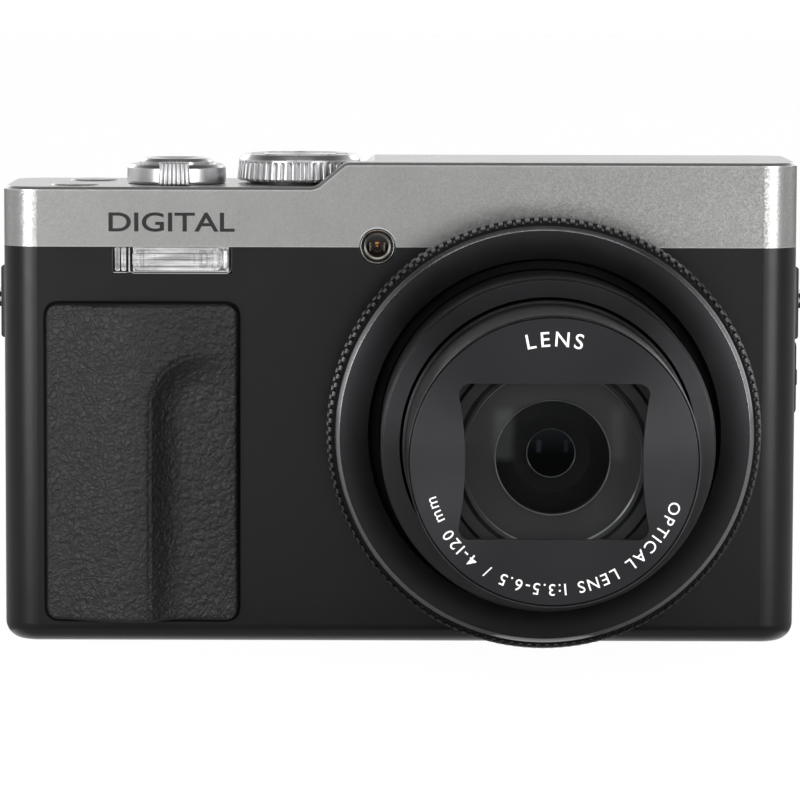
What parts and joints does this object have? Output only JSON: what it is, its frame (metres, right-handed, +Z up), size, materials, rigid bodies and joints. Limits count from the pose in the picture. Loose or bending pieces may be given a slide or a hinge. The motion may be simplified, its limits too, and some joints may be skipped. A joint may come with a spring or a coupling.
{
  "type": "compact digital camera",
  "caption": "Pocket digital camera: extending zoom lens in a knurled ring, mode dial, zoom lever, built-in flash, eyepiece, rubber grip and a screen that tilts up to face forward.",
  "frame": {"origin": "centre of the tripod socket's mouth, on the base plane, midway along the body's width", "axes": "+X to the right as seen from in front of the lens, +Y from the lens towards the screen, +Z up; the lens looks along -Y"},
  "size_m": [0.1158, 0.0728, 0.0687],
  "materials": {
    "black_shell": "fine satin texture",
    "silver_cover": "satin silver with a fine sparkle",
    "silver_control": "satin",
    "grip_rubber": "moulded leather grain",
    "black_control": "satin",
    "lens_black": "black anodised satin",
    "name_ring": "spun finish",
    "lens_inner": "matt anti-reflection black",
    "blade": "matt black",
    "optical_glass": "coated",
    "flash_lens": "ribbed and clear",
    "reflector": "bright",
    "lamp_lens": "clear amber",
    "screen_glass": "gloss black",
    "board": "solder mask",
    "silicon": "bare sensor",
    "frame_metal": "stamped",
    "steel": "nickel plated",
    "black_steel": "black oxide",
    "battery_wrap": "plain wrap",
    "motor_can": "plated"
  },
  "bodies": {
    "camera_body": {"front_cover": "black_shell", "rear_cover": "black_shell", "top_cover": "silver_cover", "front_grip": "grip_rubber", "thumb_rest": "grip_rubber", "flash_window": "flash_lens", "flash_reflector": "reflector", "flash_tube": "flash_lens", "af_lamp_bezel": "black_control", "af_lamp_lens": "lamp_lens", "mode_dial_base": "black_control", "lens_collar": "lens_black", "lens_front_bezel": "lens_black", "lens_housing": "lens_inner", "image_sensor": "silicon", "chassis": "frame_metal", "main_board": "board", "zoom_motor": "motor_can", "battery_box": "lens_inner", "battery": "battery_wrap", "tripod_socket": "steel", "case_screws": "black_steel", "usb_hdmi_ports": "steel", "lug_plates": "black_control", "strap_lugs": "steel", "screen_hinge": "black_control", "hinge_pins": "steel", "eyepiece_cup": "grip_rubber", "eyepiece_lens": "optical_glass", "viewfinder_module": "lens_inner"},
    "mode_dial": {"mode_dial": "silver_control"},
    "zoom_lever": {"zoom_lever": "silver_control"},
    "shutter_button": {"shutter_button": "silver_control"},
    "power_button": {"power_button": "silver_control"},
    "record_button": {"record_button": "silver_control"},
    "control_ring": {"control_ring": "lens_black"},
    "outer_barrel": {"outer_barrel": "lens_black"},
    "middle_barrel": {"middle_barrel": "lens_black"},
    "barrier_blade_upper": {"barrier_blade_upper": "blade"},
    "barrier_blade_lower": {"barrier_blade_lower": "blade"},
    "barrier_leaf_upper": {"barrier_leaf_upper": "blade"},
    "barrier_leaf_lower": {"barrier_leaf_lower": "blade"},
    "battery_door": {"battery_door": "black_shell"},
    "door_lock": {"door_lock": "black_control"},
    "port_door": {"port_door": "grip_rubber"},
    "diopter_dial": {"diopter_dial": "black_control"},
    "rear_dial": {"rear_dial": "black_control"},
    "set_button": {"set_button": "black_control"},
    "viewfinder_button": {"viewfinder_button": "black_control"},
    "fn_button": {"fn_button": "black_control"},
    "play_button": {"play_button": "black_control"},
    "delete_button": {"delete_button": "black_control"},
    "inner_barrel": {"inner_barrel": "lens_black", "lens_front_ring": "name_ring", "front_lens": "optical_glass", "lens_cell": "lens_inner", "iris_unit": "lens_inner", "second_lens": "optical_glass"},
    "screen": {"screen_housing": "black_control", "screen_glass": "screen_glass"}
  },
  "joints": [
    {"name": "mode_dial_turn", "type": "hinge", "parent": "camera_body", "child": "mode_dial", "pos_m": [-0.01435, -0.0002, 0.0665], "axis": [0, 0, 1], "continuous": true},
    {"name": "zoom_lever_swing", "type": "hinge", "parent": "camera_body", "child": "zoom_lever", "pos_m": [-0.0319, -0.002, 0.0655], "axis": [0, 0, 1], "range_deg": [-18, 18], "stiffness_Nm_per_rad": 0.02},
    {"name": "shutter_press", "type": "slide", "parent": "camera_body", "child": "shutter_button", "axis": [0, 0, -1], "range_m": [0, 0.0006], "stiffness_N_per_m": 250},
    {"name": "power_press", "type": "slide", "parent": "camera_body", "child": "power_button", "axis": [0, 0, -1], "range_m": [0, 0.0004], "stiffness_N_per_m": 250},
    {"name": "record_press", "type": "slide", "parent": "camera_body", "child": "record_button", "axis": [0, 0, -1], "range_m": [0, 0.0004], "stiffness_N_per_m": 250},
    {"name": "control_ring_turn", "type": "hinge", "parent": "camera_body", "child": "control_ring", "pos_m": [0.02, -0.0215, 0.0308], "axis": [0, 1, 0], "continuous": true},
    {"name": "lens_extend", "type": "slide", "parent": "camera_body", "child": "outer_barrel", "axis": [0, -1, 0], "range_m": [-0.0127, 0]},
    {"name": "zoom_travel", "type": "slide", "parent": "outer_barrel", "child": "middle_barrel", "axis": [0, -1, 0], "range_m": [-0.0009, 0.016]},
    {"name": "inner_barrel_extend", "type": "slide", "parent": "middle_barrel", "child": "inner_barrel", "axis": [0, -1, 0], "range_m": [-0.0188, 0]},
    {"name": "barrier_close", "type": "slide", "parent": "inner_barrel", "child": "barrier_blade_upper", "axis": [0, 0, -1], "range_m": [0, 0.0104]},
    {"name": "lower_blade_close", "type": "slide", "parent": "inner_barrel", "child": "barrier_blade_lower", "axis": [0, 0, 1], "range_m": [0, 0.0104]},
    {"name": "upper_leaf_close", "type": "slide", "parent": "inner_barrel", "child": "barrier_leaf_upper", "axis": [0, 0, -1], "range_m": [0, 0.0052]},
    {"name": "lower_leaf_close", "type": "slide", "parent": "inner_barrel", "child": "barrier_leaf_lower", "axis": [0, 0, 1], "range_m": [0, 0.0052]},
    {"name": "battery_door_swing", "type": "hinge", "parent": "camera_body", "child": "battery_door", "pos_m": [-0.0216, -0.002, 0.001], "axis": [0, -1, 0], "range_deg": [0, 100]},
    {"name": "door_lock_slide", "type": "slide", "parent": "battery_door", "child": "door_lock", "axis": [-1, 0, 0], "range_m": [0, 0.002]},
    {"name": "port_door_swing", "type": "hinge", "parent": "camera_body", "child": "port_door", "pos_m": [0.0563, 0.0053, 0.037], "axis": [0, 0, 1], "range_deg": [0, 120]},
    {"name": "screen_tilt", "type": "hinge", "parent": "camera_body", "child": "screen", "pos_m": [0.018, 0.0145, 0.0533], "axis": [1, 0, 0], "range_deg": [0, 180]},
    {"name": "diopter_turn", "type": "hinge", "parent": "camera_body", "child": "diopter_dial", "pos_m": [0.0505, 0.0115, 0.061], "axis": [0, 0, 1], "range_deg": [-150, 150]},
    {"name": "rear_dial_turn", "type": "hinge", "parent": "camera_body", "child": "rear_dial", "pos_m": [-0.038, 0.0133, 0.0215], "axis": [0, 1, 0], "continuous": true},
    {"name": "set_press", "type": "slide", "parent": "camera_body", "child": "set_button", "axis": [0, -1, 0], "range_m": [0, 0.0004], "stiffness_N_per_m": 250},
    {"name": "viewfinder_button_press", "type": "slide", "parent": "camera_body", "child": "viewfinder_button", "axis": [0, -1, 0], "range_m": [0, 0.0003], "stiffness_N_per_m": 250},
    {"name": "fn_press", "type": "slide", "parent": "camera_body", "child": "fn_button", "axis": [0, -1, 0], "range_m": [0, 0.0004], "stiffness_N_per_m": 250},
    {"name": "play_press", "type": "slide", "parent": "camera_body", "child": "play_button", "axis": [0, -1, 0], "range_m": [0, 0.0004], "stiffness_N_per_m": 250},
    {"name": "delete_press", "type": "slide", "parent": "camera_body", "child": "delete_button", "axis": [0, -1, 0], "range_m": [0, 0.0004], "stiffness_N_per_m": 250}
  ],
  "couplings": [
    {"joint": "inner_barrel_extend", "follows": "lens_extend", "ratio": 1.4803},
    {"joint": "lower_blade_close", "follows": "barrier_close", "ratio": 1},
    {"joint": "upper_leaf_close", "follows": "barrier_close", "ratio": 0.5},
    {"joint": "lower_leaf_close", "follows": "barrier_close", "ratio": 0.5}
  ]
}
